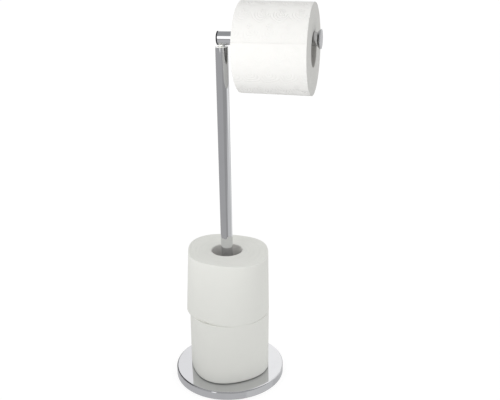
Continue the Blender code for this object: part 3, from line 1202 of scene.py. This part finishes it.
def rolls() -> list[WoundRoll]:
    """The three rolls: one on the arm and two on the pole.

    Returns:
        The rolls, ready to be built.
    """
    hanging = WoundRoll(
        name="hanging_roll",
        body=Body.HANGING_ROLL,
        end_turn=-102.6,
        foot=Press(lean=0.07, lean_turn=-123),
        top=Press(swell=0.004),
        wrap=HANGING_WRAP,
        ends=HANGING_ENDS_PAINTED_SHADE,
        place=lambda work: work.lay_down(29.9 * MM, 513 * MM),
        free_end=6 * MM,
        free_lift=0.42 * MM,
        pressing=0.34 * MM,
        length=98.6 * MM,
        top_corner=0.2 * MM,
        steps=448,
        rows=112,
        seed=3,
    )
    paper = {"wrap": SPARE_WRAP, "ends": SPARE_ENDS, "card": PALE_CARD_PAINTED_LIGHT}
    spare = partial(WoundRoll, end_turn=100.0, radius=63.5 * MM, **paper)
    lower = spare(
        name="lower_spare",
        body=Body.LOWER_ROLL,
        foot=Press(oval=0.02, oval_turn=-72, square=0.031, square_turn=-12),
        top=Press(0.016, -59, 0.014, -18, lean=0.023, lean_turn=13),
        place=lambda work: work.lift(14.3 * MM),
        length=98.2 * MM,
        foot_corner=2 * MM,
        top_corner=0.2 * MM,
        seed=5,
    )
    upper = spare(
        name="upper_spare",
        body=Body.UPPER_ROLL,
        foot=Press(0.049, -26, 0.015, 27, lean=0.015, lean_turn=152),
        top=Press(0.073, -37, 0.039, -40, lean=0.028, lean_turn=29, swell=0.015),
        place=lambda work: work.lift(112.6 * MM),
        foot_corner=0.2 * MM,
        top_corner=0.9 * MM,
        seed=8,
    )
    return [hanging, lower, upper]


# Studio


@dataclass(frozen=True)
class Panel:
    """A part of the room that polished metal mirrors, by direction in degrees.

    A bearing is 0 towards the front, -Y, and 90 towards +X.
    """

    bearings: Pair
    heights: Pair
    shade: Triple
    soft: float


@dataclass
class Studio:
    """The camera, the soft lamp, the white background and the floor."""

    lens: float = 48.589
    sensor: float = 36.0
    place: Triple = (0.26622, -0.91184, 0.61997)
    yaw: float = 14.096
    pitch: float = 19.147
    roll: float = -0.811
    key_power: float = 0.62
    key_spread: float = 54.0
    key_place: Triple = (-0.33, -0.86, 0.5)
    key_size: Pair = (0.6, 0.5)
    aim: Triple = (0.07, 0.0, 0.515)
    floor_size: float = 12.0
    floor_shade: float = 0.8
    floor_glow: float = 0.82
    floor_shadow: float = 0.26

    AIR = (0.67, 0.67, 0.67, 1.0)
    AIR_PANELS = (
        Panel((30, 150), (-90, 50), (1.03, 1.03, 1.03), 8),
        Panel((-220, 220), (40, 120), (0.74, 0.74, 0.74), 6),
        Panel((-150, -45), (-90, 65), (0.88, 0.88, 0.88), 8),
    )
    ROOM = (1.18, 1.18, 1.185, 1.0)
    ROOM_PANELS = (
        Panel((-170, 16), (-70, -1), (0.48, 0.48, 0.49), 3),
        Panel((12, 100), (-60, 4), (0.4, 0.4, 0.405), 4),
        Panel((88, 112), (-15.5, 4), (0.84, 0.845, 0.855), 3),
        Panel((66, 130), (-60, -14), (0.78, 0.785, 0.795), 3),
        Panel((45, 130), (-60, -18.5), (0.69, 0.695, 0.705), 2.5),
        Panel((86, 110), (-7.9, 2), (0.3, 0.3, 0.3), 0.6),
        Panel((140, 178), (-22, 14), (0.6, 0.6, 0.605), 8),
        Panel((120, 195), (-60, -26), (0.6, 0.6, 0.61), 4),
        Panel((-185, 50), (-60, -28), (0.6, 0.6, 0.615), 3),
        Panel((-60, 100), (-1, 40), (0.44, 0.44, 0.45), 2),
        Panel((100, 135), (0, 22), (0.69, 0.69, 0.7), 3),
        Panel((-163, -120), (28, 60), (1.05, 1.05, 1.065), 4),
        Panel((-220, 220), (40, 120), (0.41, 0.42, 0.43), 6),
        Panel((100, 200), (30, 70), (1.18, 1.18, 1.185), 4),
        Panel((-150, -62), (6, 50), (0.06, 0.06, 0.065), 3),
        Panel((-220, 220), (-120, -72), (0.27, 0.27, 0.275), 8),
        Panel((-22, -12.5), (-6.6, 32), (1.7, 1.7, 1.7), 0.2),
    )

    def build(self) -> None:
        """Sets up the whole studio."""
        bpy.context.scene.view_settings.view_transform = "Standard"
        self._camera()
        self._lamp()
        self._air()
        self._floor()

    def _camera(self) -> None:
        """Puts the camera where the photograph was taken from."""
        yaw, pitch, roll = map(radians, (self.yaw, self.pitch, self.roll))
        level_ahead = Vector((-sin(yaw), cos(yaw), 0))
        ahead = level_ahead * cos(pitch) - Vector((0, 0, sin(pitch)))
        level = Vector((cos(yaw), sin(yaw), 0))
        upright = level.cross(ahead)
        right = cos(roll) * level + sin(roll) * upright
        up = cos(roll) * upright - sin(roll) * level
        data = bpy.data.cameras.new("photo_camera")
        data.lens, data.sensor_width = self.lens, self.sensor
        data.clip_start, data.clip_end = 0.01, 50.0
        camera = put_in_scene("photo_camera", data)
        facing = Matrix((right, up, -ahead)).transposed().to_4x4()
        camera.matrix_world = Matrix.Translation(self.place) @ facing
        bpy.context.scene.camera = camera

    def _lamp(self) -> None:
        """Hangs the soft box in front, to the left of the camera."""
        data = bpy.data.lights.new("soft_box", "AREA")
        data.shape = "RECTANGLE"
        data.size, data.size_y = self.key_size
        data.energy = self.key_power
        data.spread = radians(self.key_spread)
        lamp = put_in_scene("soft_box", data)
        place = Vector(self.key_place)
        lamp.location = place
        lamp.rotation_mode = "QUATERNION"
        lamp.rotation_quaternion = (Vector(self.aim) - place).to_track_quat("-Z", "Y")
        lamp.visible_camera = False
        lamp.visible_glossy = False

    def _air(self) -> None:
        """Fills the air with even light, white behind the object and in what metal mirrors."""
        world = bpy.data.worlds.new("studio_air")
        bpy.context.scene.world = world
        world.use_nodes = True
        sheet = Sheet(world.node_tree)
        path = sheet.node("ShaderNodeLightPath")
        rays = ("Is Camera Ray", "Is Glossy Ray", "Is Transmission Ray")
        camera, glossy, clear = (Value(sheet, path.outputs[ray]) for ray in rays)
        mirrored = glossy.function("MAXIMUM", clear)
        air = self._around(sheet, self.AIR, self.AIR_PANELS)
        room = self._around(sheet, self.ROOM, self.ROOM_PANELS)
        seen = sheet.tint(mirrored, air, room)
        seen = sheet.tint(camera, seen, (1.0, 1.0, 1.0, 1.0))
        light = sheet.read("ShaderNodeBackground", None, {"Color": seen})
        sheet.node("ShaderNodeOutputWorld", None, {"Surface": light})

    @staticmethod
    def _around(sheet: Sheet, base: tuple[float, ...], panels: Sequence[Panel]) -> Value:
        """The light from all around.

        Args:
            sheet: The world's sheet.
            base: The light where there is no panel.
            panels: The panels, later ones over earlier ones.

        Returns:
            The colour by direction.
        """
        x, y, z = sheet.parts(sheet.read("ShaderNodeTexCoord", output="Generated"))
        bearing = turn_of(x, 0.0 - y).function("DEGREES")
        height = z.function("ARCSINE").function("DEGREES")
        seen: Feed = base
        for panel in panels:
            share: Number = 1.0
            for angle, (low, high) in ((bearing, panel.bearings), (height, panel.heights)):
                share = rise(angle, low - panel.soft, low + panel.soft) * share
                share = share * (1 - rise(angle, high - panel.soft, high + panel.soft))
            seen = sheet.tint(share, seen, (*panel.shade, 1.0))
        return seen

    def _floor(self) -> None:
        """Lays a pale floor that is white to the camera and keeps the object's shadow."""
        bm = bmesh.new()
        bmesh.ops.create_grid(bm, x_segments=1, y_segments=1, size=self.floor_size)
        mesh = bpy.data.meshes.new("studio_floor")
        bm.to_mesh(mesh)
        bm.free()
        ground = put_in_scene("studio_floor", mesh)
        made = bpy.data.materials.new("studio_floor")
        made.use_nodes = True
        sheet = Sheet(made.node_tree)
        camera = sheet.read("ShaderNodeLightPath", output="Is Camera Ray")
        paint, faint = (
            sheet.read("ShaderNodeBsdfDiffuse", None, {"Color": (grey, grey, grey, 1.0)})
            for grey in (self.floor_shade, self.floor_shadow)
        )
        glowing = {"Color": (1.0, 1.0, 1.0, 1.0), "Strength": self.floor_glow}
        glow = sheet.read("ShaderNodeEmission", None, glowing)
        white = sheet.read("ShaderNodeAddShader", None, {0: glow, 1: faint})
        surface = sheet.read("ShaderNodeMixShader", None, {0: camera, 1: paint, 2: white})
        sheet.node("ShaderNodeOutputMaterial", None, {"Surface": surface})
        mesh.materials.append(made)
        ground.visible_glossy = False


def main() -> None:
    """Builds the holder, its rolls and the studio, and reports each piece."""
    logging.basicConfig(level=logging.INFO, format="%(message)s")
    for assembly in (Base(), Pole(), Arm(), *rolls()):
        LOG.info("building %s", getattr(assembly, "name", type(assembly).__name__))
        assembly.build()
    Studio().build()


if __name__ == "__main__":
    main()
